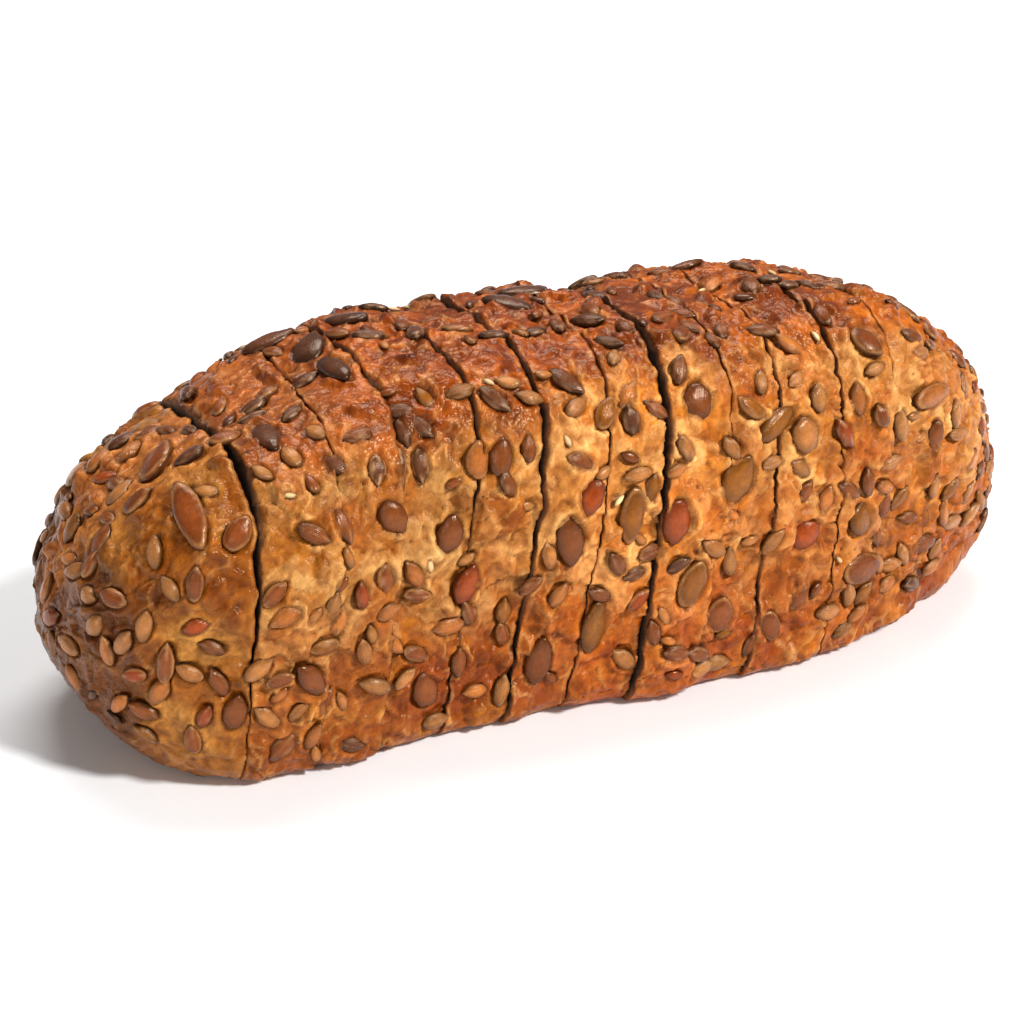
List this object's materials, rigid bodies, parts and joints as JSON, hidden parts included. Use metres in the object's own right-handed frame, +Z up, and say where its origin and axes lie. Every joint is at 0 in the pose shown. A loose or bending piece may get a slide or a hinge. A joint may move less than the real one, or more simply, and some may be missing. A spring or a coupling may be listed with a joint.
{
  "type": "pumpkin seed bread",
  "caption": "Oblong brown loaf crusted with pumpkin and sunflower seeds, cut into leaning slices that still stand together between two rounded heels.",
  "frame": {"origin": "on the floor, under the middle of the loaf's overall box", "axes": "+X along the loaf from the steeper heel to the slimmer heel, +Y across it away from the picture's viewer, +Z up"},
  "size_m": [0.249, 0.0953, 0.0854],
  "materials": {
    "crust": "baked seeded crust, glossy and dark on top, dull and lighter at the sides"
  },
  "bodies": {
    "root": {"heel_left": "crust", "slice_01": "crust", "slice_02": "crust", "slice_03": "crust", "slice_04": "crust", "slice_05": "crust", "slice_06": "crust", "slice_07": "crust", "slice_08": "crust", "slice_09": "crust", "slice_10": "crust", "slice_11": "crust", "heel_right": "crust"}
  },
  "joints": []
}
